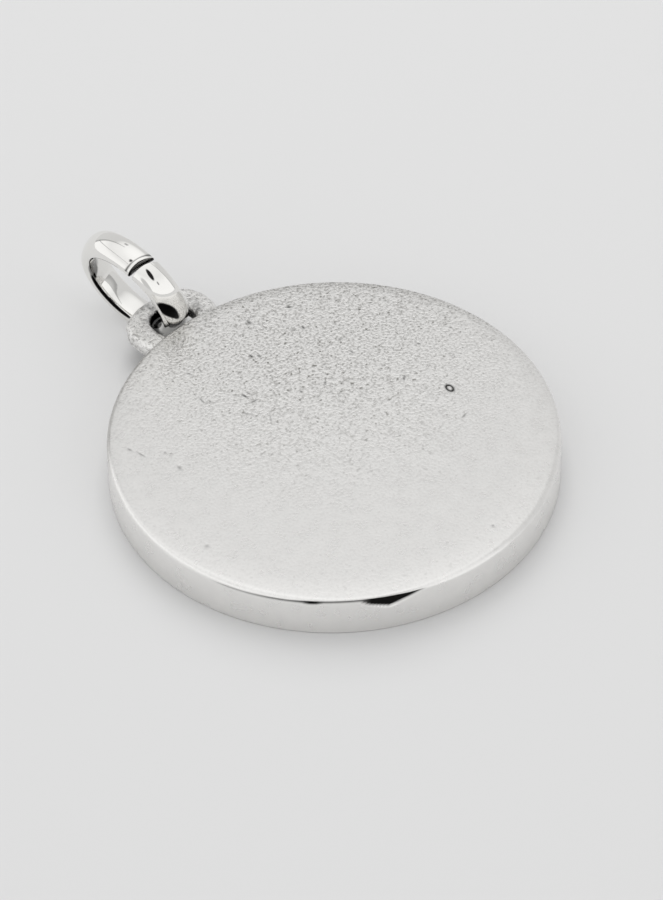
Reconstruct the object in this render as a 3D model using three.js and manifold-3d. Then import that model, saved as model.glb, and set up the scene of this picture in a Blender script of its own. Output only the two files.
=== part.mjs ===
// A round cast silver medal with a plain back, a cast ear at its rim, and a split jump ring through the ear.
// Millimetres, Z up, +Y towards the ear. The medal lies on its front, with the origin below its middle.

import * as THREE from 'three';
import { mergeVertices } from 'three/addons/utils/BufferGeometryUtils.js';
import manifoldModule from 'manifold-3d';

const wasm = await manifoldModule();
wasm.setup();

const mergeDistance = 1e-5;

// Medal
const medalDiameter = 22;
const medalThickness = 2.3;
const edgeRadius = 0.3;            // rounding of the upper edge, which shows
const lowerEdgeRadius = 0.25;      // rounding of the edge it lies on
const rollWidth = 1.3;             // band inside the edge where the face starts to fall
const rollDrop = 0.03;             // how far it falls there
const medalSides = 112;
const edgeSteps = 4;

// Jump ring, of half-round wire with its flat side inward
const ringDiameter = 6.3;
const wireWidth = 1.5;             // along the ring's axis
const wireThickness = 0.74;        // from the flat side to the crown
const flatWidth = 0.75;            // of the flat side
const splitWidth = 0.2;            // open cut between the wire's two ends
const splitAngle = 24;             // of the cut from the ring's top towards the medal, in degrees
const ringLean = 14.3;             // of the standing ring to the left, in degrees
const ringTurn = 5.5;              // of the ring about the upright, in degrees
const ringSteps = 60;
const crownSteps = 10;
const cornerSteps = 3;

// Ear
const earWidth = 4.85;             // across both arms
const barWidth = 0.8;              // of the outer bar, in the medal's plane
const earThickness = 0.85;
const earRounding = 0.26;          // of the ear's edges
const earSquareness = 2.6;         // exponent of its rounded outline, 2 would be an ellipse
const holeSquareness = 2.3;
const earRoot = 0.9;               // how deep the arms run into the medal
const outlineSteps = 40;
const holeSteps = 28;
const roundingSteps = 3;

// Clearances
const groundGap = 0.03;            // under the ring, which stands beside the medal
const rimGap = 0.1;                // between the ring and the medal's edge
const underGap = 0.5;              // between the ring's flat side and the ear above it
const barGap = 0.15;               // between the ring's flat side and the outer bar
const holeSideGap = 0.6;           // between the wire and each side of the hole

// The ring's place follows from what it stands on and what it clears.
const medalRadius = medalDiameter / 2;
const ringRadius = ringDiameter / 2;
const boreRadius = ringRadius - wireThickness;
const crownRadius = ringRadius - wireThickness / 2;
const lean = THREE.MathUtils.degToRad(ringLean);
const turn = THREE.MathUtils.degToRad(ringTurn);
const crownReach = Math.hypot(wireThickness / 2 * Math.cos(lean), wireWidth / 2 * Math.sin(lean));
const ringHeight = groundGap + crownRadius * Math.cos(lean) + crownReach;

const earBottom = groundGap + wireThickness + underGap;
const earTop = earBottom + earThickness;

// Half chord of a circle of the leaning ring, where a level cuts it.
function reachAt(radius, level) {
  const depth = (ringHeight - level) / Math.cos(lean);
  return Math.sqrt(Math.max(radius * radius - depth * depth, 0));
}

const rimLevel = medalThickness - edgeRadius / 2;
const ringY = medalRadius + rimGap + reachAt(ringRadius, rimLevel) * Math.cos(turn);
const wireLift = wireWidth / 2 * Math.sin(lean);
const wireSwing = wireWidth / 2 * Math.sin(turn);
const barLevel = earBottom + earRounding / 2 - wireLift;
const barInner = ringY - reachAt(boreRadius, barLevel) * Math.cos(turn) + wireSwing + barGap;
const earReach = barInner + barWidth;

// In the hole the wire runs midway between the arms.
const earLevel = (earBottom + earTop) / 2;
const sideShift = reachAt(crownRadius, earLevel) * Math.sin(turn);
const leanShift = (ringHeight - earLevel) * Math.tan(lean) * Math.cos(turn);
const ringX = -(sideShift + leanShift);

const castSilver = new THREE.MeshStandardMaterial({
  name: 'cast_silver',
  color: 0xc9c9c6,
  roughness: 0.42,
  metalness: 1,
});

const polishedSilver = new THREE.MeshStandardMaterial({
  name: 'polished_silver',
  color: 0xd8d8d5,
  roughness: 0.1,
  metalness: 1,
});

function toManifold(geometry) {
  const bare = geometry.clone();
  bare.deleteAttribute('normal');
  bare.deleteAttribute('uv');
  const merged = mergeVertices(bare, mergeDistance);
  const mesh = new wasm.Mesh({
    numProp: 3,
    vertProperties: new Float32Array(merged.attributes.position.array),
    triVerts: new Uint32Array(merged.index.array),
  });
  return new wasm.Manifold(mesh);
}

function toGeometry(solid) {
  const mesh = solid.getMesh();
  const geometry = new THREE.BufferGeometry();
  geometry.setAttribute('position', new THREE.BufferAttribute(mesh.vertProperties, mesh.numProp));
  geometry.setIndex(new THREE.BufferAttribute(mesh.triVerts, 1));
  geometry.computeVertexNormals();
  return geometry;
}

// Points along an arc about a middle point, angles in degrees.
function arcPoints(centreX, centreY, radius, from, to, steps) {
  const points = [];
  for (let i = 0; i <= steps; i += 1) {
    const angle = THREE.MathUtils.degToRad(from + (to - from) * i / steps);
    points.push(new THREE.Vector2(centreX + radius * Math.cos(angle), centreY + radius * Math.sin(angle)));
  }
  return points;
}

// Closed outline of an ellipse drawn towards a rectangle.
function squaredOutline(centreY, halfX, halfY, squareness, steps) {
  const points = [];
  for (let i = 0; i < steps; i += 1) {
    const angle = Math.PI * 2 * i / steps;
    const c = Math.cos(angle);
    const s = Math.sin(angle);
    const x = halfX * Math.sign(c) * Math.abs(c) ** (2 / squareness);
    const y = halfY * Math.sign(s) * Math.abs(s) ** (2 / squareness);
    points.push(new THREE.Vector2(x, centreY + y));
  }
  return points;
}

// The disc, turned from its section.
function discSolid() {
  const shoulder = medalThickness - rollDrop;
  const section = [
    new THREE.Vector2(0, 0),
    ...arcPoints(medalRadius - lowerEdgeRadius, lowerEdgeRadius, lowerEdgeRadius, -90, 0, edgeSteps),
    ...arcPoints(medalRadius - edgeRadius, shoulder - edgeRadius, edgeRadius, 0, 90, edgeSteps),
    new THREE.Vector2(medalRadius - rollWidth, medalThickness),
    new THREE.Vector2(0, medalThickness),
  ];
  const lathe = new THREE.LatheGeometry(section, medalSides);
  lathe.rotateX(Math.PI / 2);
  return toManifold(lathe);
}

// The ear: a flat loop with rounded edges whose arms run into the disc.
function earSolid() {
  const rootY = medalRadius - earRoot;
  const halfDepth = (earReach - rootY) / 2;
  const outline = squaredOutline(
    rootY + halfDepth, earWidth / 2 - earRounding, halfDepth - earRounding, earSquareness, outlineSteps,
  );
  const holeInner = medalRadius - edgeRadius;
  const holeDepth = (barInner - holeInner) / 2;
  const hole = squaredOutline(
    holeInner + holeDepth,
    wireWidth / 2 + holeSideGap + earRounding,
    holeDepth + earRounding,
    holeSquareness,
    holeSteps,
  );
  const shape = new THREE.Shape(outline);
  shape.holes.push(new THREE.Path(hole));
  const loop = new THREE.ExtrudeGeometry(shape, {
    depth: earThickness - 2 * earRounding,
    bevelEnabled: true,
    bevelSize: earRounding,
    bevelThickness: earRounding,
    bevelSegments: roundingSteps,
    curveSegments: 1,
  });
  loop.translate(0, 0, earBottom + earRounding);
  return toManifold(loop);
}

function medalGeometry() {
  return toGeometry(discSolid().add(earSolid()));
}

// A stretch of a unit circle, stretched to two half sizes and shifted along x.
function squashedArc(from, to, steps, shift, halfX, halfY) {
  return arcPoints(0, 0, 1, from, to, steps).map((p) => new THREE.Vector2(shift + p.x * halfX, p.y * halfY));
}

// The wire's section: x runs along the ring's axis, y from the middle of the wire to the ring's middle.
function wireShape() {
  const half = wireThickness / 2;
  const corner = (wireWidth - flatWidth) / 2;
  const points = [
    ...squashedArc(180, 360, crownSteps, 0, wireWidth / 2, half),
    ...squashedArc(0, 90, cornerSteps, flatWidth / 2, corner, half).slice(1),
    ...squashedArc(90, 180, cornerSteps, -flatWidth / 2, corner, half).slice(0, -1),
  ];
  return new THREE.Shape(points);
}

// The wire's middle line, open at the cut, in the plane across X with its top at +Z.
class SplitCircle extends THREE.Curve {
  getPoint(t, target = new THREE.Vector3()) {
    const halfCut = splitWidth / 2 / crownRadius;
    const start = THREE.MathUtils.degToRad(splitAngle) + halfCut;
    const angle = start + (Math.PI * 2 - 2 * halfCut) * t;
    return target.set(0, -crownRadius * Math.sin(angle), crownRadius * Math.cos(angle));
  }
}

function jumpRingGeometry() {
  const ring = new THREE.ExtrudeGeometry(wireShape(), {
    steps: ringSteps,
    bevelEnabled: false,
    extrudePath: new SplitCircle(),
    curveSegments: 1,
  });
  ring.rotateY(-lean);
  ring.rotateZ(turn);
  ring.translate(ringX, ringY, ringHeight);
  return toGeometry(toManifold(ring));
}

function named(name, geometry, material) {
  const mesh = new THREE.Mesh(geometry, material);
  mesh.name = name;
  return mesh;
}

const part = new THREE.Group();
part.name = 'religious_medal_pendant';
part.add(named('medal', medalGeometry(), castSilver));
part.add(named('jump_ring', jumpRingGeometry(), polishedSilver));

export default part;
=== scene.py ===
from math import atan2, cos, degrees, exp, hypot, pi, radians, sin

import bmesh
import bpy
from mathutils import Matrix, Vector, noise


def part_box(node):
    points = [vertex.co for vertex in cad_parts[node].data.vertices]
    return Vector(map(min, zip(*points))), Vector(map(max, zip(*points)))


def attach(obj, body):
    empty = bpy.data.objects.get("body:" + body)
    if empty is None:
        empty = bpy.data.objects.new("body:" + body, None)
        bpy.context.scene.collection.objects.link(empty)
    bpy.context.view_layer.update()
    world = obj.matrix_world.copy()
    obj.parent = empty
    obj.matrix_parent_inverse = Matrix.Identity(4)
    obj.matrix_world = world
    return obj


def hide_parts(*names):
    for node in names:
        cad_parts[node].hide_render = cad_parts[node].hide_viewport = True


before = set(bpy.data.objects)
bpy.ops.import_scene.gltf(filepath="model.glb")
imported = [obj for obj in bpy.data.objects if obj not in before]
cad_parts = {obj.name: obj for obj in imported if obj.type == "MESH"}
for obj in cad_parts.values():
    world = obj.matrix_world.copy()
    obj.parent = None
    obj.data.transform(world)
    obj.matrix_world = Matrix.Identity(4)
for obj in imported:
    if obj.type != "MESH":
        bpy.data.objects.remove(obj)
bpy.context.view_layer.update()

# Lengths in the dictionaries are in millimetres and angles in degrees.
mm = 0.001
weldDistance = 1e-6     # of doubled points, in metres

# Sockets of a Mix node, for numbers and for colours: its two inputs and its output.
numberA, numberB, numberOut = 2, 3, 0
colourA, colourB, colourOut = 6, 7, 2


def toLinear(hexColour):
    # sRGB hex to the linear colour that Blender's sockets take
    values = []
    for i in (1, 3, 5):
        c = int(hexColour[i:i + 2], 16) / 255
        values.append(c / 12.92 if c <= 0.04045 else ((c + 0.055) / 1.055) ** 2.4)
    return (*values, 1.0)


def addNode(tree, kind, inputs=None, stops=None, **settings):
    # one node, its settings, its ramp's stops, and a value or a link for each named input
    node = tree.nodes.new(kind)
    for name, value in settings.items():
        setattr(node, name, value)
    if stops:
        ramp = node.color_ramp
        while len(ramp.elements) < len(stops):
            ramp.elements.new(0.5)
        for element, (position, value) in zip(ramp.elements, stops):
            element.position = position
            element.color = (value, value, value, 1) if isinstance(value, (int, float)) else value
    for socket, value in (inputs or {}).items():
        if isinstance(value, bpy.types.NodeSocket):
            tree.links.new(value, node.inputs[socket])
        else:
            node.inputs[socket].default_value = value
    return node


def newMaterial(name):
    # an empty material with its output; returns the material, its tree and the output node
    material = bpy.data.materials.new(name)
    material.use_nodes = True
    tree = material.node_tree
    tree.nodes.clear()
    return material, tree, addNode(tree, "ShaderNodeOutputMaterial")


def makeObject(name, bm, materials):
    # a smooth shaded object at the origin from a finished bmesh
    mesh = bpy.data.meshes.new(name)
    for face in bm.faces:
        face.smooth = True
    bm.to_mesh(mesh)
    bm.free()
    for material in materials:
        mesh.materials.append(material)
    piece = bpy.data.objects.new(name, mesh)
    bpy.context.scene.collection.objects.link(piece)
    return piece


def divideWideFaces(bm):
    # faces of more than four corners as triangles, and no slivers left
    bmesh.ops.triangulate(bm, faces=[face for face in bm.faces if len(face.verts) > 4])
    bmesh.ops.dissolve_degenerate(bm, dist=weldDistance, edges=bm.edges)


def bell(distance, width):
    return exp(-(distance / width) ** 2)


def smoothStep(low, high, value):
    t = min(max((value - low) / (high - low), 0.0), 1.0)
    return t * t * (3 - 2 * t)


def turnBetween(a, b):
    # signed difference of two directions, in degrees
    return (a - b + 180) % 360 - 180


# ---- camera ----
camera = {
    "distance": 260,
    "azimuth": -41.6,
    "elevation": 44.95,
    "roll": -1.31,
    "focalPixels": 5338.8,          # for a picture of 663 by 900
    "shiftPixels": (3.07, 19.13),   # of the origin from the picture's middle, right and down
    "longSidePixels": 900,
    "sensor": 36,
    "clip": (0.01, 10),             # metres
}


def makeCamera():
    a, e, r = (radians(camera[k]) for k in ("azimuth", "elevation", "roll"))
    back = Vector((sin(a) * cos(e), -cos(a) * cos(e), sin(e)))
    side = Vector((cos(a), sin(a), 0))
    top = back.cross(side)
    right = side * cos(r) + top * sin(r)
    up = top * cos(r) - side * sin(r)
    data = bpy.data.cameras.new("camera")
    longSide = camera["longSidePixels"]
    data.sensor_width = camera["sensor"]
    data.lens = camera["focalPixels"] / longSide * camera["sensor"]
    data.shift_x = -camera["shiftPixels"][0] / longSide
    data.shift_y = camera["shiftPixels"][1] / longSide
    data.clip_start, data.clip_end = camera["clip"]
    eye = bpy.data.objects.new("camera", data)
    eye.matrix_world = Matrix.Translation(back * camera["distance"] * mm) @ Matrix(
        (right, up, back)).transposed().to_4x4()
    bpy.context.scene.collection.objects.link(eye)
    bpy.context.scene.camera = eye


makeCamera()
print("camera placed")

# ---- light ----
# A white tent with a grey backdrop, a seam at each of its sides and one across the left wall, and
# the dark things in its open front. The key light comes from behind and gives the soft shadow.
tent = {
    "backdrop": (23.5, 68.5),       # direction of its middle from +X, and half of its width
    "backdropBlur": 0.02,           # of its sides, in radians
    "backdropLight": [(0, 0.70), (0.60, 0.68), (0.69, 0.67), (0.745, 0.775), (0.79, 0.87), (0.87, 0.98),
                      (1, 1.08)],   # light by sine of height
    "sideLight": [(0, 1.06), (0.40, 1.02), (0.60, 0.90), (0.87, 0.97), (1, 1.08)],
    "sideSeam": {"halfWidth": 2.2, "light": 0.58, "below": 66},
    "wallSeam": {"from": (17, 100), "to": (45, 168), "halfWidth": 0.8, "reach": 42, "light": 0.5},
    "darkThings": [                 # height, direction, half height, half width, light
        {"at": (43, -107), "half": (13, 7), "light": 0.02},
        {"at": (24, -97), "half": (4.0, 2.6), "light": 0.30},
        {"at": (4, -142), "half": (22, 11), "light": 0.6},
    ],
    "thingBlur": (0.8, 1.15),       # shares of their half size where they end
    "keyPlace": (181, 204, 419),
    "keySize": (300, 470),          # width and height
    "keyPower": 0.88,               # watts
}


def direction(height, around):
    h, a = radians(height), radians(around)
    return Vector((cos(h) * cos(a), cos(h) * sin(a), sin(h)))


def dimmed(tree, light, where, also, share):
    # the light where both masks hold is kept only to a share
    both = addNode(tree, "ShaderNodeMath", {0: where, 1: also}, operation="MULTIPLY").outputs["Value"]
    kept = addNode(tree, "ShaderNodeMapRange", {"Value": both, "To Min": 1.0, "To Max": share})
    return addNode(tree, "ShaderNodeMath", {0: light, 1: kept.outputs["Result"]},
                   operation="MULTIPLY").outputs["Value"]


def makeTent():
    world = bpy.data.worlds.new("light_tent")
    bpy.context.scene.world = world
    world.use_nodes = True
    tree = world.node_tree
    tree.nodes.clear()
    look = addNode(tree, "ShaderNodeTexCoord").outputs["Generated"]
    parts = addNode(tree, "ShaderNodeSeparateXYZ", {"Vector": look})
    height = parts.outputs["Z"]
    around = addNode(tree, "ShaderNodeMath", {0: parts.outputs["Y"], 1: parts.outputs["X"]},
                     operation="ARCTAN2").outputs["Value"]
    middle, half = (radians(v) for v in tent["backdrop"])
    fromMiddle = addNode(tree, "ShaderNodeMath", {0: around, 1: middle}, operation="SUBTRACT")
    aside = addNode(tree, "ShaderNodeMath", {0: fromMiddle.outputs["Value"]},
                    operation="ABSOLUTE").outputs["Value"]
    beyond = addNode(tree, "ShaderNodeMapRange", {"Value": aside,
                     "From Min": half - tent["backdropBlur"],
                     "From Max": half + tent["backdropBlur"]}, interpolation_type="SMOOTHSTEP")
    back = addNode(tree, "ShaderNodeValToRGB", {"Fac": height}, stops=tent["backdropLight"])
    side = addNode(tree, "ShaderNodeValToRGB", {"Fac": height}, stops=tent["sideLight"])
    light = addNode(tree, "ShaderNodeMix", {"Factor": beyond.outputs["Result"],
                    numberA: back.outputs["Color"], numberB: side.outputs["Color"]}).outputs[numberOut]

    seam = tent["sideSeam"]
    onSeam = addNode(tree, "ShaderNodeMath", {0: aside, 1: half, 2: radians(seam["halfWidth"])},
                     operation="COMPARE").outputs["Value"]
    low = addNode(tree, "ShaderNodeMath", {0: height, 1: sin(radians(seam["below"]))},
                  operation="LESS_THAN")
    light = dimmed(tree, light, onSeam, low.outputs["Value"], seam["light"])
    seam = tent["wallSeam"]
    start, end = direction(*seam["from"]), direction(*seam["to"])
    pole = addNode(tree, "ShaderNodeVectorMath", {0: look, 1: start.cross(end).normalized()},
                   operation="DOT_PRODUCT").outputs["Value"]
    onSeam = addNode(tree, "ShaderNodeMath", {0: pole, 1: 0.0, 2: radians(seam["halfWidth"])},
                     operation="COMPARE").outputs["Value"]
    along = addNode(tree, "ShaderNodeVectorMath", {0: look, 1: (start + end).normalized()},
                    operation="DOT_PRODUCT").outputs["Value"]
    near = addNode(tree, "ShaderNodeMath", {0: along, 1: cos(radians(seam["reach"]))},
                   operation="GREATER_THAN")
    light = dimmed(tree, light, onSeam, near.outputs["Value"], seam["light"])
    for thing in tent["darkThings"]:
        middle = direction(*thing["at"])
        upright = direction(thing["at"][0] + 90, thing["at"][1])
        sideways = middle.cross(upright)
        spans = []
        for axis, half in zip((upright, sideways), thing["half"]):
            spans.append(addNode(tree, "ShaderNodeVectorMath", {0: look, 1: axis / sin(radians(half))},
                                 operation="DOT_PRODUCT").outputs["Value"])
        ahead = addNode(tree, "ShaderNodeVectorMath", {0: look, 1: middle}, operation="DOT_PRODUCT")
        behind = addNode(tree, "ShaderNodeMath", {0: ahead.outputs["Value"], 1: 0.0},
                         operation="LESS_THAN")
        flat = addNode(tree, "ShaderNodeCombineXYZ", {0: spans[0], 1: spans[1],
                       2: behind.outputs["Value"]})
        size = addNode(tree, "ShaderNodeVectorMath", {0: flat.outputs["Vector"]}, operation="LENGTH")
        inner, outer = tent["thingBlur"]
        dim = addNode(tree, "ShaderNodeMapRange", {"Value": size.outputs["Value"], "From Min": inner,
                      "From Max": outer, "To Min": thing["light"], "To Max": 1.0},
                      interpolation_type="SMOOTHSTEP")
        light = addNode(tree, "ShaderNodeMath", {0: light, 1: dim.outputs["Result"]},
                        operation="MULTIPLY").outputs["Value"]
    glow = addNode(tree, "ShaderNodeBackground", {"Color": (1, 1, 1, 1), "Strength": light})
    addNode(tree, "ShaderNodeOutputWorld", {"Surface": glow.outputs["Background"]})

    data = bpy.data.lights.new("key", "AREA")
    data.shape = "RECTANGLE"
    data.size, data.size_y = (size * mm for size in tent["keySize"])
    data.energy = tent["keyPower"]
    key = bpy.data.objects.new("key", data)
    key.location = Vector(tent["keyPlace"]) * mm
    key.rotation_euler = (-key.location).to_track_quat("-Z", "Y").to_euler()
    key.visible_glossy = False      # the silver mirrors the tent alone
    bpy.context.scene.collection.objects.link(key)
    bpy.context.scene.view_settings.view_transform = "Standard"


makeTent()
print("light tent made")

# ---- floor ----
floor = {"halfSize": 1500, "colour": "#d4d4d4", "roughness": 0.9, "sheen": 0.1}


def makeFloor():
    bm = bmesh.new()
    bmesh.ops.create_grid(bm, x_segments=1, y_segments=1, size=floor["halfSize"] * mm)
    material, tree, output = newMaterial("matte_paper")
    shader = addNode(tree, "ShaderNodeBsdfPrincipled", {"Base Color": toLinear(floor["colour"]),
                     "Roughness": floor["roughness"], "Specular IOR Level": floor["sheen"]})
    tree.links.new(shader.outputs["BSDF"], output.inputs["Surface"])
    makeObject("floor", bm, [material])


makeFloor()
print("floor laid")

# ---- silver ----
# All three finishes are of silver, a metal, so only colour, roughness and bump tell them apart.
noiseScale = 0.6        # of a noise texture whose grains are one unit wide
noiseSpan = {"From Min": 0.3, "From Max": 0.7}      # between which most of a noise lies

# Tumbled cast silver: steel shot has closed the cast skin to a satin, which keeps its grain and
# small dark pits around one side and is worn smooth towards the other. Black stays in the dents.
# Shade is painted into the hollows between grains, along the rough far part of the rim and in a thin
# line along its edge.
tumbledSilver = {
    "colour": "#f0efed",
    "softColour": "#f6f5f3",        # of its softer, paler places
    "patina": "#141413",            # black left in dents, and painted shade in the groove and on the rim's wall inside the ear
    "pitAndShadeColour": "#8a8883",         # of pits, and of the painted shade in the grain's hollows and along the rim
    "rimShade": 0.24,             # share of that colour painted as shade next to the rough part of the rim
    "rimBand": (10.4, 11.25),       # distances from the origin where the rim's painted shade and stronger grain set in
    "rimGrain": 1.9,                # how much stronger the grain is there
    "lineBand": (11.03, 11.10),     # distances from the origin where the painted shade line along the edge sets in
    "lineTarnish": 0.36,            # share of the pits' colour in that line
    "lineSide": (-0.53, 0.848, 0),  # towards the middle of that line
    "lineFrom": (9.6, 10.5),        # distances that way where the line sets in
    "wall": (1.9, 2.2),             # heights over which the grain fades down the wall
    "wallGrain": 0.15,
    "grainCentre": (5.0, 7.2, 2.3),  # where the skin is roughest
    "grainReach": (3.0, 15.0),      # distances where the grain starts to fade and has faded
    "grainLeft": 0.13,              # share of the grain that stays on the worn side
    "grain": 0.085,                 # width of one grain
    "grainDepth": 0.08,
    "hollowShadeAndDirt": 0.62,              # share of the pits' colour in the hollows between grains: painted shade, and dirt
    "hollowTo": (0.30, 0.53),       # stretch of the noise that makes those hollows
    "pebble": 0.45,                 # softer unevenness under the grain
    "pebbleDepth": 0.03,
    "pit": 0.11,                    # width of one pit
    "pitDepth": 0.012,
    "pitFrom": (0.17, 0.31),        # lowest stretch of the noise that makes pits
    "roughness": (0.26, 0.34),      # where the pebbles are low and high
}
# Rough cast silver of the ear: the skin of the mould, barely touched by the tumbling.
roughSilver = {
    "colour": "#efeeec",
    "hollowColour": "#8d8b87",
    "hollowTone": 0.6,              # share of that colour in the deepest hollows
    "hollowTo": (0.32, 0.5),        # stretch of the noise that makes them
    "patina": "#0e0e0d",            # painted shade inside the hole and on the ear's top
    "grain": 0.12,
    "grainDepth": 0.09,
    "fineGrain": 0.06,
    "fineDepth": 0.02,
    "roughness": (0.26, 0.40),
}
# Polished silver of the jump ring: drawn half-round wire, buffed to a mirror with faint hairlines.
polishedSilver = {
    "colour": "#f1f0ed",
    "patina": "#0b0b0b",            # painted shade on the two cut ends, and the black of its dark marks, mostly painted reflections and shade
    "wave": 1.1,                    # slow waves that bend its reflections
    "waveDepth": 0.0016,
    "hairline": 0.05,               # width of its faint polishing marks
    "hairlineDepth": 0.00006,
    "roughness": 0.045,
}


def makeTumbledSilver():
    s = tumbledSilver
    material, tree, output = newMaterial("tumbled_cast_silver")
    place = addNode(tree, "ShaderNodeTexCoord").outputs["Object"]
    centred = addNode(tree, "ShaderNodeVectorMath", {0: place, 1: Vector(s["grainCentre"]) * mm},
                      operation="DISTANCE")
    kept = addNode(tree, "ShaderNodeMapRange", {"Value": centred.outputs["Value"],
                   "From Min": s["grainReach"][0] * mm, "From Max": s["grainReach"][1] * mm,
                   "To Min": 1.0, "To Max": s["grainLeft"]},
                   interpolation_type="SMOOTHSTEP").outputs["Result"]
    level = addNode(tree, "ShaderNodeSeparateXYZ", {"Vector": place}).outputs["Z"]
    onFace = addNode(tree, "ShaderNodeMapRange", {"Value": level, "From Min": s["wall"][0] * mm,
                     "From Max": s["wall"][1] * mm, "To Min": s["wallGrain"]}).outputs["Result"]
    kept = addNode(tree, "ShaderNodeMath", {0: kept, 1: onFace}, operation="MULTIPLY").outputs["Value"]
    out = addNode(tree, "ShaderNodeVectorMath", {0: place}, operation="LENGTH").outputs["Value"]
    rim = addNode(tree, "ShaderNodeMapRange", {"Value": out, "From Min": s["rimBand"][0] * mm,
                  "From Max": s["rimBand"][1] * mm}, interpolation_type="SMOOTHSTEP").outputs["Result"]
    rimKept = addNode(tree, "ShaderNodeMath", {0: rim, 1: kept},
                      operation="MULTIPLY").outputs["Value"]
    atRim = addNode(tree, "ShaderNodeMapRange", {"Value": rimKept, "To Min": 1.0,
                    "To Max": s["rimGrain"]})
    strength = addNode(tree, "ShaderNodeMath", {0: kept, 1: atRim.outputs["Result"]},
                       operation="MULTIPLY")
    grain = addNode(tree, "ShaderNodeTexNoise", {"Vector": place,
                    "Scale": noiseScale / (s["grain"] * mm), "Detail": 2.0, "Roughness": 0.55})
    pebble = addNode(tree, "ShaderNodeTexNoise", {"Vector": place,
                     "Scale": noiseScale / (s["pebble"] * mm), "Detail": 1.0, "Roughness": 0.5})
    pitNoise = addNode(tree, "ShaderNodeTexNoise", {"Vector": place,
                       "Scale": noiseScale / (s["pit"] * mm), "Detail": 0.0})
    pit = addNode(tree, "ShaderNodeMapRange", {"Value": pitNoise.outputs["Fac"],
                  "From Min": s["pitFrom"][0], "From Max": s["pitFrom"][1],
                  "To Min": 1.0, "To Max": 0.0})
    pitHere = addNode(tree, "ShaderNodeMath", {0: pit.outputs["Result"], 1: kept},
                      operation="MULTIPLY")
    # painted shade along the rough far part of the rim
    rimShadeHere = addNode(tree, "ShaderNodeMath", {0: rimKept, 1: s["rimShade"]}, operation="MULTIPLY")
    # painted shade and dirt in the hollows between grains
    hollows = addNode(tree, "ShaderNodeMapRange", {"Value": grain.outputs["Fac"],
                      "From Min": s["hollowTo"][0], "From Max": s["hollowTo"][1],
                      "To Min": s["hollowShadeAndDirt"], "To Max": 0.0})
    hollow = addNode(tree, "ShaderNodeMath", {0: hollows.outputs["Result"], 1: kept},
                     operation="MULTIPLY")
    # painted shade in a thin line along the edge on one side
    lineward = addNode(tree, "ShaderNodeVectorMath", {0: place, 1: s["lineSide"]},
                       operation="DOT_PRODUCT")
    lined = addNode(tree, "ShaderNodeMapRange", {"Value": lineward.outputs["Value"],
                    "From Min": s["lineFrom"][0] * mm, "From Max": s["lineFrom"][1] * mm})
    line = addNode(tree, "ShaderNodeMapRange", {"Value": out, "From Min": s["lineBand"][0] * mm,
                   "From Max": s["lineBand"][1] * mm, "To Max": s["lineTarnish"]})
    lineHere = addNode(tree, "ShaderNodeMath", {0: line.outputs["Result"], 1: lined.outputs["Result"]},
                       operation="MULTIPLY")
    edgeShade = addNode(tree, "ShaderNodeMath", {0: rimShadeHere.outputs["Value"], 1: lineHere.outputs["Value"]},
                    operation="ADD")
    paintedShadeAndDirt = addNode(tree, "ShaderNodeMath", {0: edgeShade.outputs["Value"], 1: hollow.outputs["Value"]},
                   operation="ADD")
    dark = addNode(tree, "ShaderNodeMath", {0: pitHere.outputs["Value"], 1: paintedShadeAndDirt.outputs["Value"]},
                   operation="MAXIMUM")
    tone = addNode(tree, "ShaderNodeMix", {"Factor": pebble.outputs["Fac"],
                   colourA: toLinear(s["colour"]), colourB: toLinear(s["softColour"])},
                   data_type="RGBA").outputs[colourOut]
    pittedAndShaded = addNode(tree, "ShaderNodeMix", {"Factor": dark.outputs["Value"], colourA: tone,
                     colourB: toLinear(s["pitAndShadeColour"])}, data_type="RGBA").outputs[colourOut]
    black = addNode(tree, "ShaderNodeAttribute", attribute_name="patina")
    coloured = addNode(tree, "ShaderNodeMix", {"Factor": black.outputs["Fac"], colourA: pittedAndShaded,
                       colourB: toLinear(s["patina"])}, data_type="RGBA").outputs[colourOut]
    gloss = addNode(tree, "ShaderNodeMapRange", {"Value": pebble.outputs["Fac"], **noiseSpan,
                    "To Min": s["roughness"][0], "To Max": s["roughness"][1]})
    soft = addNode(tree, "ShaderNodeBump", {"Height": pebble.outputs["Fac"],
                   "Distance": s["pebbleDepth"] * mm, "Strength": kept})
    fine = addNode(tree, "ShaderNodeBump", {"Height": grain.outputs["Fac"],
                   "Distance": s["grainDepth"] * mm, "Strength": strength.outputs["Value"],
                   "Normal": soft.outputs["Normal"]})
    deep = addNode(tree, "ShaderNodeBump", {"Height": pit.outputs["Result"],
                   "Distance": s["pitDepth"] * mm, "Strength": kept,
                   "Normal": fine.outputs["Normal"]}, invert=True)
    shader = addNode(tree, "ShaderNodeBsdfPrincipled", {"Base Color": coloured, "Metallic": 1.0,
                     "Roughness": gloss.outputs["Result"], "Normal": deep.outputs["Normal"]})
    tree.links.new(shader.outputs["BSDF"], output.inputs["Surface"])
    return material


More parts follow.
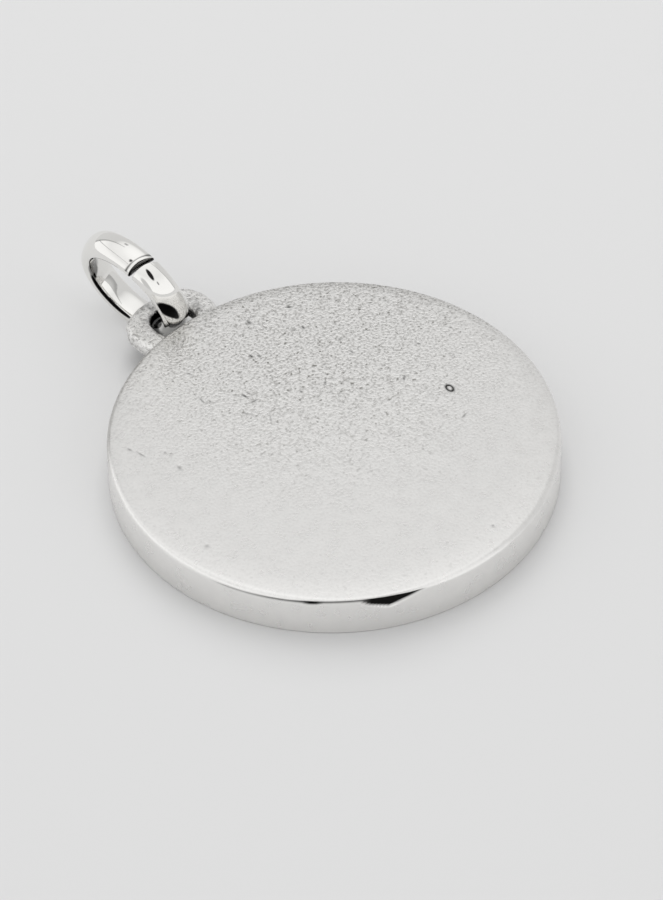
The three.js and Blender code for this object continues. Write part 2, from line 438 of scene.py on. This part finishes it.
def makeRoughSilver():
    s = roughSilver
    material, tree, output = newMaterial("rough_cast_silver")
    place = addNode(tree, "ShaderNodeTexCoord").outputs["Object"]
    grain = addNode(tree, "ShaderNodeTexNoise", {"Vector": place,
                    "Scale": noiseScale / (s["grain"] * mm), "Detail": 2.0, "Roughness": 0.6})
    fine = addNode(tree, "ShaderNodeTexNoise", {"Vector": place,
                   "Scale": noiseScale / (s["fineGrain"] * mm), "Detail": 1.0})
    hollow = addNode(tree, "ShaderNodeMapRange", {"Value": grain.outputs["Fac"],
                     "From Min": s["hollowTo"][0], "From Max": s["hollowTo"][1],
                     "To Min": s["hollowTone"], "To Max": 0.0})
    rough = addNode(tree, "ShaderNodeMix", {"Factor": hollow.outputs["Result"],
                    colourA: toLinear(s["colour"]), colourB: toLinear(s["hollowColour"])},
                    data_type="RGBA").outputs[colourOut]
    black = addNode(tree, "ShaderNodeAttribute", attribute_name="patina")
    tone = addNode(tree, "ShaderNodeMix", {"Factor": black.outputs["Fac"], colourA: rough,
                   colourB: toLinear(s["patina"])}, data_type="RGBA").outputs[colourOut]
    gloss = addNode(tree, "ShaderNodeMapRange", {"Value": fine.outputs["Fac"], **noiseSpan,
                    "To Min": s["roughness"][0], "To Max": s["roughness"][1]})
    coarse = addNode(tree, "ShaderNodeBump", {"Height": grain.outputs["Fac"],
                     "Distance": s["grainDepth"] * mm, "Strength": 1.0})
    sandy = addNode(tree, "ShaderNodeBump", {"Height": fine.outputs["Fac"],
                    "Distance": s["fineDepth"] * mm, "Strength": 1.0,
                    "Normal": coarse.outputs["Normal"]})
    shader = addNode(tree, "ShaderNodeBsdfPrincipled", {"Base Color": tone, "Metallic": 1.0,
                     "Roughness": gloss.outputs["Result"], "Normal": sandy.outputs["Normal"]})
    tree.links.new(shader.outputs["BSDF"], output.inputs["Surface"])
    return material


def makePolishedSilver():
    s = polishedSilver
    material, tree, output = newMaterial("polished_silver")
    place = addNode(tree, "ShaderNodeTexCoord").outputs["Object"]
    wave = addNode(tree, "ShaderNodeTexNoise", {"Vector": place, "Scale": 1 / (s["wave"] * mm),
                   "Detail": 0.0})
    hair = addNode(tree, "ShaderNodeTexNoise", {"Vector": place, "Scale": 1 / (s["hairline"] * mm),
                   "Detail": 1.0})
    waves = addNode(tree, "ShaderNodeBump", {"Height": wave.outputs["Fac"],
                    "Distance": s["waveDepth"] * mm, "Strength": 1.0})
    hairs = addNode(tree, "ShaderNodeBump", {"Height": hair.outputs["Fac"],
                    "Distance": s["hairlineDepth"] * mm, "Strength": 1.0,
                    "Normal": waves.outputs["Normal"]})
    black = addNode(tree, "ShaderNodeAttribute", attribute_name="patina")
    tone = addNode(tree, "ShaderNodeMix", {"Factor": black.outputs["Fac"],
                   colourA: toLinear(s["colour"]), colourB: toLinear(s["patina"])},
                   data_type="RGBA").outputs[colourOut]
    shader = addNode(tree, "ShaderNodeBsdfPrincipled", {"Base Color": tone, "Metallic": 1.0,
                     "Roughness": s["roughness"], "Normal": hairs.outputs["Normal"]})
    tree.links.new(shader.outputs["BSDF"], output.inputs["Surface"])
    return material


# ---- medal ----
medal = {
    "radius": 11.0,
    "edgeLevel": 2.25,              # height of the face at its rim
    "edgeRadius": 0.12,             # rounding of the upper edge
    "lowerRadius": 0.1,             # and of the lower one
    "arcSteps": 6,
    "straightFrom": 0.5,            # edges of its section longer than this are the straight ones
    "faceFrom": 0.99,               # share of the edge level above which a point is on the face
    "dome": 0.15,                   # rise of the face towards its middle
    "rollDrop": 0.08,               # fall of the face near the rim
    "rollWidth": 2.0,
    "wideRoll": 0.8,                # extra width and depth of the fall at the worn side
    "wornDrop": 0.07,
    "wideRollAt": -77,              # direction of that side, and its spread
    "wideRollSpread": 35,
    "turns": 400,                   # faces around
    "fineBand": 2.2,                # width of the finely divided band inside the rim
    "fineRings": 36,                # divisions of the band, the rest of the face, the wall and the base
    "faceRings": 56,
    "wallRings": 38,
    "baseRings": 12,
    "faceBlend": (0.28, 0.05),      # depths below the edge level between which the face's forms set in
    "faceSlack": 0.02,              # how far below the edge level a dent's black may reach
    "swell": 0.0035,                # slow unevenness of the face, and its length
    "swellLength": 2.4,
    "softEdge": 0.19,               # extra rounding of the worn edge between two directions
    "softFrom": (130, 154),         # where it sets in, and where it ends
    "softTo": (305, 330),
    "sharp": (234, 22),             # direction about which the edge has stayed sharp, and its spread
    "nick": 0.02,                   # small nicks of the upper edge, and their length
    "nickLength": 0.22,
    "nickFrom": 0.15,               # lowest value of the noise that makes a nick
    "nickBand": (0.5, 0.1),         # distances inside the rim where the nicks set in
    "nickDepth": 0.3,               # how far down from the edge level they reach
    "grooveBand": 0.2,              # width of the rim that the groove may touch
}

# Dents of the face: place, radius, depth and how black. A long one is a scratch, stretched in a
# direction, and a ring-shaped one keeps a knob in its middle.
dents = [
    {"at": (6.27, -1.53), "radius": 0.15, "long": (1.5, -101), "depth": 0.05, "ring": True,
     "black": 1.0},
    {"at": (5.45, -3.42), "radius": 0.06, "long": (3.9, 11), "depth": 0.013, "black": 0.55},
    {"at": (-6.93, 3.42), "radius": 0.10, "long": (2.2, -103), "depth": 0.022, "black": 0.40},
    {"at": (-7.84, 6.04), "radius": 0.08, "long": (2.3, -82), "depth": 0.015, "black": 0.50},
    {"at": (-7.66, 5.39), "radius": 0.06, "long": (5.2, -84), "depth": 0.013, "black": 0.45},
    {"at": (-6.76, 4.68), "radius": 0.09, "depth": 0.014, "black": 0.40},
    {"at": (-6.60, 4.43), "radius": 0.09, "depth": 0.014, "black": 0.40},
    {"at": (-3.10, 6.12), "radius": 0.055, "long": (5.2, -100), "depth": 0.012, "black": 0.60},
    {"at": (-2.93, 5.75), "radius": 0.055, "long": (4.4, -21), "depth": 0.012, "black": 0.50},
    {"at": (-1.39, 4.90), "radius": 0.065, "long": (3.6, -86), "depth": 0.014, "black": 0.90},
    {"at": (-1.67, 5.30), "radius": 0.05, "long": (3.9, -45), "depth": 0.011, "black": 0.50},
    {"at": (-1.12, 4.89), "radius": 0.05, "long": (4.0, -85), "depth": 0.011, "black": 0.60},
    {"at": (-1.31, 4.32), "radius": 0.055, "long": (4.8, -7), "depth": 0.012, "black": 0.60},
    {"at": (-2.14, 3.92), "radius": 0.05, "long": (7.0, -59), "depth": 0.011, "black": 0.50},
    {"at": (-1.51, 2.90), "radius": 0.045, "long": (9.0, -126), "depth": 0.010, "black": 0.40},
    {"at": (-2.28, 7.97), "radius": 0.05, "long": (3.6, -75), "depth": 0.011, "black": 0.65},
    {"at": (-1.73, 7.80), "radius": 0.05, "long": (3.3, -100), "depth": 0.011, "black": 0.60},
    {"at": (2.30, 8.72), "radius": 0.13, "long": (1.5, -100), "depth": 0.030, "black": 0.75},
    {"at": (2.62, 8.95), "radius": 0.06, "depth": 0.016, "black": 0.70},
    {"at": (2.02, 8.45), "radius": 0.06, "depth": 0.016, "black": 0.70},
    {"at": (4.49, 8.18), "radius": 0.09, "long": (1.9, -30), "depth": 0.026, "black": 0.85},
    {"at": (3.52, 6.82), "radius": 0.12, "long": (1.5, -10), "depth": 0.022, "black": 0.50},
    {"at": (3.98, 6.58), "radius": 0.08, "long": (1.8, -100), "depth": 0.022, "black": 0.85},
    {"at": (0.73, 6.81), "radius": 0.08, "long": (1.7, -93), "depth": 0.020, "black": 0.90},
    {"at": (1.01, 6.54), "radius": 0.09, "depth": 0.018, "black": 0.70},
    {"at": (4.72, 4.69), "radius": 0.11, "depth": 0.018, "black": 0.50},
    {"at": (4.52, 3.60), "radius": 0.08, "long": (1.8, -95), "depth": 0.018, "black": 0.60},
    {"at": (7.32, 1.80), "radius": 0.06, "long": (2.2, -43), "depth": 0.013, "black": 0.70},
    {"at": (7.97, 0.23), "radius": 0.05, "long": (3.2, -49), "depth": 0.011, "black": 0.45},
    {"at": (5.10, 0.48), "radius": 0.07, "long": (3.2, -133), "depth": 0.015, "black": 0.70},
    {"at": (2.03, 2.85), "radius": 0.08, "long": (1.8, -130), "depth": 0.016, "black": 0.60},
    {"at": (0.80, 3.24), "radius": 0.09, "depth": 0.018, "black": 0.70},
    {"at": (-9.44, -1.40), "radius": 0.14, "depth": 0.012, "black": 0.30},
    {"at": (1.37, -9.71), "radius": 0.09, "depth": 0.014, "black": 0.40},
]
dentReach = 2.6         # radii around a dent that are finely divided
dentRing = 0.36         # share of a ring-shaped dent's radius that its groove takes
dentBlack = 0.8         # share of a dent's radius that its black reaches
dentRingBlack = 0.4     # the same for the groove of a ring-shaped one

# The groove below the upper edge, black with painted shade, and where a knock has opened it to a
# notch: direction, height below the edge, depth and blackness.
groove = [
    (194, 0, 0, 0), (199, 0.07, 0.02, 0.5), (216, 0.12, 0.03, 0.75), (219.5, 0.14, 0.04, 0.85),
    (221, 0.22, 0.05, 1), (223, 0.22, 0.05, 1), (225, 0.13, 0.03, 0.75), (234, 0.13, 0.03, 0.75),
    (236.2, 0.40, 0.06, 1), (239, 0.56, 0.09, 1), (241.3, 0.68, 0.10, 1), (243.3, 0.52, 0.09, 1),
    (249.5, 0.03, 0.03, 1), (251, 0, 0, 0),
]
grooveTop = (0.5, 0.8)  # shares of the edge's rounding, and of its extra rounding, above the groove
grooveBlur = ((-0.01, 0.03), (-0.01, 0.05))     # distances about its top and bottom where it sets in
blackBlur = ((-0.02, 0.02), (-0.06, 0.05))      # the same for its black


def dentDistance(dent, x, y):
    # distance from a dent's middle, measured short along its long direction
    dx, dy = x - dent["at"][0], y - dent["at"][1]
    if "long" not in dent:
        return hypot(dx, dy)
    stretch, turn = dent["long"]
    c, s = cos(radians(turn)), sin(radians(turn))
    return hypot((dx * c + dy * s) / stretch, dy * c - dx * s)


def softenedBy(angle):
    # extra rounding of the upper edge in one direction
    m = medal
    worn = smoothStep(*m["softFrom"], angle) * (1 - smoothStep(*m["softTo"], angle))
    return m["softEdge"] * worn * (1 - bell(turnBetween(angle, m["sharp"][0]), m["sharp"][1]))


def grooveAt(angle):
    # height, depth and blackness of the groove in one direction
    for (start, *first), (end, *second) in zip(groove, groove[1:]):
        if start <= angle <= end:
            share = (angle - start) / (end - start)
            return [p + (q - p) * share for p, q in zip(first, second)]
    return 0.0, 0.0, 0.0


def inGroove(angle, z, height, blur):
    # how much a level lies in the groove, from 0 to 1
    (topFrom, topTo), (bottomFrom, bottomTo) = blur
    top = medal["edgeLevel"] - medal["edgeRadius"] * grooveTop[0] - softenedBy(angle) * grooveTop[1]
    below = top - z
    return smoothStep(topFrom, topTo, below) * (
        1 - smoothStep(height + bottomFrom, height + bottomTo, below))


def makeDisc():
    m = medal
    bm = bmesh.new()
    corners = [(0, 0), (m["radius"], 0), (m["radius"], m["edgeLevel"]), (0, m["edgeLevel"])]
    points = [bm.verts.new((x * mm, 0, z * mm)) for x, z in corners]
    for a, b in zip(points, points[1:]):
        bm.edges.new((a, b))
    for corner, reach in ((points[2], m["edgeRadius"]), (points[1], m["lowerRadius"])):
        bmesh.ops.bevel(bm, geom=[corner], offset=reach * mm, offset_type="OFFSET", affect="VERTICES",
                        segments=m["arcSteps"], profile=0.5, material=-1)
    # the long straight edges: face, wall and base
    straight = sorted(bm.edges, key=lambda e: e.calc_length())[-3:]
    wall = min(straight, key=lambda e: e.calc_length())
    face = max(straight, key=lambda e: e.verts[0].co.z)
    base = next(e for e in straight if e not in (wall, face))
    inner = min(face.verts, key=lambda v: v.co.x)
    share = 1 - m["fineBand"] / (m["radius"] - m["edgeRadius"])
    band, _ = bmesh.utils.edge_split(face, inner, share)
    bands = [e for e in bm.edges if e.calc_length() > m["straightFrom"] * mm
             and e not in (wall, base)]
    band = max(bands, key=lambda e: max(v.co.x for v in e.verts))
    face = min(bands, key=lambda e: min(v.co.x for v in e.verts))
    for edge, cuts in ((band, m["fineRings"]), (face, m["faceRings"]), (wall, m["wallRings"]),
                       (base, m["baseRings"])):
        bmesh.ops.subdivide_edges(bm, edges=[edge], cuts=cuts)
    bmesh.ops.spin(bm, geom=bm.verts[:] + bm.edges[:], cent=(0, 0, 0), axis=(0, 0, 1), angle=2 * pi,
                   steps=m["turns"], use_merge=True, use_duplicate=False)
    bmesh.ops.remove_doubles(bm, verts=bm.verts, dist=weldDistance)
    bmesh.ops.recalc_face_normals(bm, faces=bm.faces)
    return bm


def divideAround(bm, x, y, reach):
    # two finer divisions of the top face around a dent
    for share in (1.0, 0.75):
        near = [e for e in bm.edges if all(
            v.co.z > medal["edgeLevel"] * mm * medal["faceFrom"]
            and hypot(v.co.x / mm - x, v.co.y / mm - y) < reach * share for v in e.verts)]
        bmesh.ops.subdivide_edges(bm, edges=near, cuts=1, use_grid_fill=True)


def shapeDisc(bm):
    # the dome, worn edge, dents, nicks and groove
    m = medal
    for dent in dents:
        divideAround(bm, *dent["at"], dent["radius"] * (dent.get("long", (1, 0))[0] + dentReach - 1))
    for v in bm.verts:
        x, y, z = v.co / mm
        r, angle = hypot(x, y), degrees(atan2(y, x)) % 360
        rounding = m["edgeRadius"] + softenedBy(angle)
        out, up = (r - m["radius"]) / rounding + 1, (z - m["edgeLevel"]) / rounding + 1
        if out > 0 and up > 0 and hypot(out, up) > 1:
            shrink = ((out / hypot(out, up) - 1) * rounding + m["radius"]) / r
            x, y, r = x * shrink, y * shrink, r * shrink
            z = (up / hypot(out, up) - 1) * rounding + m["edgeLevel"]
            v.co = Vector((x, y, z)) * mm
        faceShare = smoothStep(*(m["edgeLevel"] - depth for depth in m["faceBlend"]), z)
        if faceShare > 0:
            worn = bell(turnBetween(angle, m["wideRollAt"]), m["wideRollSpread"])
            width = m["rollWidth"] + m["wideRoll"] * worn
            roll = max(0.0, (r - m["radius"] + width) / width)
            lift = m["dome"] * (1 - (r / m["radius"]) ** 2) + m["rollDrop"] * (1 - roll ** 3)
            lift -= m["wornDrop"] * worn * roll ** 3
            lift += m["swell"] * noise.noise(Vector((x, y, 0)) / m["swellLength"])
            for dent in dents:
                away = dentDistance(dent, x, y)
                radius = dent["radius"]
                if away < radius * dentReach:
                    hollow = (bell(away - radius, radius * dentRing) if dent.get("ring")
                              else bell(away, radius))
                    lift -= dent["depth"] * hollow
            v.co.z += lift * faceShare * mm
        nickStart, nickFull = (m["radius"] - inside for inside in m["nickBand"])
        if r > nickStart and z > m["edgeLevel"] - m["nickDepth"]:
            nick = noise.noise(Vector((x, y, z)) / m["nickLength"]) - m["nickFrom"]
            v.co.z -= max(0.0, nick) * m["nick"] * smoothStep(nickStart, nickFull, r) * mm
        height, depth, _ = grooveAt(angle)
        if r > m["radius"] - m["grooveBand"] and height > 0:
            shrink = 1 - depth * inGroove(angle, z, height, grooveBlur) / m["radius"]
            v.co.x *= shrink
            v.co.y *= shrink


def patinaAndShadeAt(co):
    # how black the silver is at a point, from 0 to 1: patina in the dents, painted shade elsewhere
    m = medal
    x, y, z = co / mm
    black = 0.0
    if z > m["edgeLevel"] - m["faceSlack"]:
        for dent in dents:
            away, radius = dentDistance(dent, x, y), dent["radius"]
            if away < radius * dentReach:
                here = (bell(away - radius, radius * dentRingBlack) if dent.get("ring")
                        else bell(away, radius * dentBlack))
                black = max(black, dent["black"] * here)
    # painted shade on the rim's wall between the ear's arms and on the sides of its hole
    e = ear
    if (y > 0 and m["radius"] - e["nearWall"] < hypot(x, y) and abs(x) < e["halfWidth"]
            and z < m["edgeLevel"] - m["edgeRadius"]):
        across = abs(x - e["middle"]) / e["holeHalfWidth"]
        if hypot(x, y) < m["radius"] + e["nearWall"]:   # the rim's wall between the arms
            black = max(black, 1 - smoothStep(*e["wallBlack"], across))
        else:                                           # the hole's side of the ear
            middle, half = (e["holeTo"] + e["holeFrom"]) / 2, (e["holeTo"] - e["holeFrom"]) / 2
            power = e["holeSquareness"]
            around = (across ** power + (abs(y - middle) / half) ** power) ** (1 / power)
            below = 1 - smoothStep(e["top"] - e["rounding"], e["top"] - e["cleanTop"], z)
            black = max(black, (1 - smoothStep(*e["holeBlack"], around)) * below)
    # painted shade on the ear's top beside the ring and the hole
    if y > m["radius"] and z > e["shadeFrom"]:
        speckle = e["speckleMean"] + e["speckleSwing"] * noise.noise(Vector((x, y, z)) / e["speckle"])
        for (atX, atY), reach, shaded in earShade:
            black = max(black, min(1.0, shaded * speckle * bell(hypot(x - atX, y - atY), reach)))
    # painted shade in the groove under the upper edge and its notch
    if hypot(x, y) > m["radius"] - m["grooveBand"]:
        angle = degrees(atan2(y, x)) % 360
        height, _, blackness = grooveAt(angle)
        if height > 0:
            black = max(black, blackness * inGroove(angle, z, height, blackBlur))
    return black


# ---- ear ----
ear = {
    "middle": 0.05,                 # to the right of the medal's middle
    "halfWidth": 2.36,
    "bottom": 1.08,
    "top": 1.98,
    "root": 10.1,                   # where the loop starts inside the rim
    "reach": 13.716,                # and where it ends
    "holeHalfWidth": 1.12,
    "holeFrom": 10.7,
    "holeTo": 12.916,
    "squareness": 2.6,              # how square the two outlines are, 2 would be round
    "holeSquareness": 2.3,
    "rounding": 0.30,
    "roundingSteps": 5,
    "outlineSteps": 120,
    "wideFace": 0.2,                # edges longer than this are divided
    "cuts": 9,
    "rough": 0.035,                 # lumps of the cast skin, and their length
    "roughLength": 0.55,
    "sharpEdge": 60,                # angle between two faces above which their edge is rounded
    "nearWall": 0.05,               # how close to the rim's wall a point counts as on it
    "wallBlack": (0.9, 1.3),        # shares of the hole's half width where that wall's painted shade ends
    "holeBlack": (1.0, 1.16),       # shares of the hole's half size where its own painted shade ends
    "cleanTop": 0.02,               # depth below the top where it ends too
    "shadeFrom": 1.48,             # height from which the ear's painted shade shows
    "speckle": 0.16,                # length of the speckles in that shade
    "speckleMean": 0.75,
    "speckleSwing": 0.6,
}

# Painted shade on the ear's top, beside the ring and the hole: place, reach and how black.
earShade = [
    ((-0.42, 13.45), 0.36, 0.60), ((-0.95, 13.38), 0.22, 0.45), ((-0.25, 13.10), 0.24, 0.70),
    ((-1.12, 12.60), 0.22, 0.35), ((1.42, 11.80), 0.32, 0.55), ((1.62, 12.15), 0.22, 0.35),
    ((1.30, 11.45), 0.24, 0.60),
]


def squared(angle, halfX, halfY, squareness):
    # a point of an ellipse drawn towards a rectangle
    c, s = cos(angle), sin(angle)
    return (halfX * abs(c) ** (2 / squareness) * (1 if c >= 0 else -1),
            halfY * abs(s) ** (2 / squareness) * (1 if s >= 0 else -1))


def makeEar():
    # a flat loop with a rounded outline and hole
    e = ear
    bm = bmesh.new()
    loops = []
    for halfX, low, high, squareness in (
            (e["halfWidth"], e["root"], e["reach"], e["squareness"]),
            (e["holeHalfWidth"], e["holeFrom"], e["holeTo"], e["holeSquareness"])):
        made = bmesh.ops.create_circle(bm, segments=e["outlineSteps"], radius=1)
        for v in made["verts"]:
            x, y = squared(atan2(v.co.y, v.co.x), halfX, (high - low) / 2, squareness)
            v.co = Vector((e["middle"] + x, (high + low) / 2 + y, e["bottom"])) * mm
        loops.append({edge for v in made["verts"] for edge in v.link_edges})
    bmesh.ops.bridge_loops(bm, edges=list(loops[0] | loops[1]))
    lower = bm.faces[:]
    raised = bmesh.ops.extrude_face_region(bm, geom=lower, use_keep_orig=True)
    up = [g for g in raised["geom"] if isinstance(g, bmesh.types.BMVert)]
    bmesh.ops.translate(bm, verts=up, vec=(0, 0, (e["top"] - e["bottom"]) * mm))
    bmesh.ops.recalc_face_normals(bm, faces=bm.faces)
    rims = [edge for edge in bm.edges if len(edge.link_faces) == 2
            and abs(edge.verts[0].co.z - edge.verts[1].co.z) < weldDistance
            and edge.calc_face_angle(0) > radians(e["sharpEdge"])]
    bmesh.ops.bevel(bm, geom=rims, offset=e["rounding"] * mm, offset_type="OFFSET", affect="EDGES",
                    segments=e["roundingSteps"], profile=0.5, material=-1, clamp_overlap=True)
    wide = [edge for edge in bm.edges if edge.calc_length() > e["wideFace"] * mm]
    bmesh.ops.subdivide_edges(bm, edges=wide, cuts=e["cuts"], use_grid_fill=True)
    bmesh.ops.recalc_face_normals(bm, faces=bm.faces)
    return bm


def roughenEar(bm):
    # low lumps of the cast skin
    e = ear
    for v in bm.verts:
        spot = v.co / mm
        lump = noise.fractal(spot / e["roughLength"], 1.0, 2.0, 2)
        v.co += v.normal * lump * e["rough"] * mm


def union(base, added):
    # base with the other mesh joined on as one closed solid, keeping each one's material
    cut = base.modifiers.new("join", "BOOLEAN")
    cut.operation = "UNION"
    cut.solver = "EXACT"
    cut.object = added
    made = bpy.data.meshes.new_from_object(base.evaluated_get(bpy.context.evaluated_depsgraph_get()))
    base.modifiers.clear()
    base.data = made
    bpy.data.objects.remove(added)
    return base


def makeMedal():
    satin, rough = makeTumbledSilver(), makeRoughSilver()
    disc = makeDisc()
    shapeDisc(disc)
    print("medal turned:", len(disc.faces), "faces")
    loop = makeEar()
    roughenEar(loop)
    for face in loop.faces:
        face.material_index = 1
    piece = makeObject("medal_with_ear", disc, [satin, rough])
    bpy.context.view_layer.update()
    union(piece, makeObject("ear", loop, [satin, rough]))
    bm = bmesh.new()
    bm.from_mesh(piece.data)
    bmesh.ops.remove_doubles(bm, verts=bm.verts, dist=weldDistance)
    divideWideFaces(bm)
    layer = bm.verts.layers.float.new("patina")
    for v in bm.verts:
        v[layer] = patinaAndShadeAt(v.co)
    for face in bm.faces:
        face.smooth = True
    bm.to_mesh(piece.data)
    bm.free()
    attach(piece, "root")
    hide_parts("medal")
    print("medal and ear joined:", len(piece.data.polygons), "faces")
    # only the medal blocks the key light, because the photograph shows no shadow of the ring
    casters = bpy.data.collections.new("shadow_casters")
    casters.objects.link(piece)
    bpy.data.objects["key"].light_linking.blocker_collection = casters


makeMedal()

# ---- jump ring ----
ring = {
    "middleRadius": 2.78,           # of the wire's middle line
    "halfWidth": 0.75,              # of the wire, along the ring's axis
    "halfThickness": 0.37,
    "innerSquareness": 3.6,         # how flat the inner side is, 2 would be round
    "roll": 12,                     # of the wire's section about its middle line
    "cut": 0.25,                    # open split between the wire's two ends
    "cutAt": 28.3,                  # from the ring's top towards the medal
    "cutSkew": 5.8,                 # turn of the cut along the ring for each mm across the wire
    "cutBow": 4.4,                  # the same for each square mm, which bows it
    "bowSpan": 0.3,                 # square of the distance across where the bow turns nothing
    "cutSlope": -4.0,               # the same for each mm from the inner side outwards
    "endRounding": 0.1,
    "endSteps": 4,
    "endBlur": 0.02,                # of the painted shade on the cut ends
    "cutLine": {"away": 0.19, "halfWidth": 0.022, "spread": 0.10, "black": 0.9},  # line above the cut
    "sectionSteps": 96,
    "turns": 480,
    "lean": 14.3,                   # of the top to the left
    "turn": 5.5,                    # about the upright
}

# Black painted on the wire: a painted reflection of the dark hole on its outer side near the ear,
# two small black marks near the cut, painted shade on its inner side where it passes through the ear,
# and painted reflections of dark things along its inner edge and on its inner side. Each has its
# side, middle and half size across the wire, the same around from the ring's top in degrees, the
# turn for each mm across, and how black it is.
markPower = 3          # of the marks' outline, 2 would be an ellipse
markEdge = (0.85, 1.08)    # shares of a mark's half size between which its black ends
ringDarkMarks = [
    {"outer": True, "across": (-0.39, 0.35), "around": (84, 11), "slant": 26, "black": 1.0},
    {"outer": True, "across": (-0.21, 0.06), "around": (20.4, 1.5), "slant": 0, "black": 0.95},
    {"outer": True, "across": (0.32, 0.05), "around": (3.6, 1.9), "slant": 0, "black": 0.55},
    {"outer": False, "across": (0.0, 0.9), "around": (150, 28), "slant": 0, "black": 1.0},
    {"outer": False, "across": (-0.62, 0.08), "around": (227, 42), "slant": 0, "black": 1.0},
    {"outer": False, "across": (-0.36, 0.30), "around": (277, 17), "slant": 12, "black": 0.7},
]


def makeJumpRing():
    # the wire's section spun round to the cut, its ends closed and rounded, then set in the ear
    g = ring
    bm = bmesh.new()
    section = bmesh.ops.create_circle(bm, segments=g["sectionSteps"], radius=1)["verts"]
    for v in section:
        angle = atan2(v.co.y, v.co.x)
        squareness = 2 if v.co.y > 0 else g["innerSquareness"]
        x, z = squared(angle, g["halfWidth"], g["halfThickness"], squareness)
        v.co = Vector((x, 0, z)) * mm
    bmesh.ops.rotate(bm, verts=section, cent=(0, 0, 0),
                     matrix=Matrix.Rotation(-radians(g["roll"]), 3, "Y"))
    bmesh.ops.translate(bm, verts=section, vec=(0, 0, g["middleRadius"] * mm))
    gap = g["cut"] / g["middleRadius"]
    bmesh.ops.rotate(bm, verts=section, cent=(0, 0, 0),
                     matrix=Matrix.Rotation(radians(g["cutAt"]) + gap / 2, 3, "X"))
    bmesh.ops.spin(bm, geom=bm.verts[:] + bm.edges[:], cent=(0, 0, 0), axis=(1, 0, 0),
                   angle=2 * pi - gap, steps=g["turns"], use_merge=False, use_duplicate=False)
    bmesh.ops.remove_doubles(bm, verts=bm.verts, dist=weldDistance)
    openEdges = [edge for edge in bm.edges if edge.is_boundary]
    bmesh.ops.holes_fill(bm, edges=openEdges, sides=0)
    bmesh.ops.recalc_face_normals(bm, faces=bm.faces)
    ends = [edge for edge in bm.edges if any(len(face.verts) > 4 for face in edge.link_faces)]
    bmesh.ops.bevel(bm, geom=ends, offset=g["endRounding"] * mm, offset_type="OFFSET", affect="EDGES",
                    segments=g["endSteps"], profile=0.5, material=-1, clamp_overlap=True)
    divideWideFaces(bm)
    layer = bm.verts.layers.float.new("patina")
    start = radians(g["cutAt"])
    for v in bm.verts:
        x, y, z = v.co / mm
        out = hypot(y, z) - g["middleRadius"]
        fromCut = ((atan2(-y, z) - start + pi) % (2 * pi) - pi) * hypot(y, z)
        # painted shade: the two cut ends facing each other across the split are black
        black = 1 - smoothStep(g["cut"] / 2, g["cut"] / 2 + g["endBlur"], abs(fromCut))
        if out > 0:
            # a thin black line across the outer side, just above the cut
            cutLine = g["cutLine"]
            black = max(black, cutLine["black"] * bell(fromCut + g["cut"] / 2 + cutLine["away"],
                                                    cutLine["halfWidth"] + cutLine["spread"] * x * x))
        around = degrees(atan2(-y, z))
        # painted reflections and shade on the wire, and two small black marks
        for mark in ringDarkMarks:
            if (out > 0) == mark["outer"]:
                aside = x - mark["across"][0]
                ahead = turnBetween(around - mark["slant"] * aside, mark["around"][0])
                off = (abs(aside / mark["across"][1]) ** markPower
                       + abs(ahead / mark["around"][1]) ** markPower) ** (1 / markPower)
                black = max(black, mark["black"] * (1 - smoothStep(*markEdge, off)))
        v[layer] = black
        skew = radians(g["cutSkew"] * x + g["cutBow"] * (x * x - g["bowSpan"]) + g["cutSlope"] * out)
        v.co = Matrix.Rotation(skew, 3, "X") @ v.co
    low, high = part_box("jump_ring")
    place = (Matrix.Translation((low + high) / 2) @ Matrix.Rotation(radians(g["turn"]), 4, "Z")
             @ Matrix.Rotation(-radians(g["lean"]), 4, "Y"))
    bmesh.ops.transform(bm, matrix=place, verts=bm.verts)
    piece = makeObject("split_jump_ring", bm, [makePolishedSilver()])
    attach(piece, "root")
    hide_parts("jump_ring")
    print("jump ring made:", len(piece.data.polygons), "faces")


makeJumpRing()
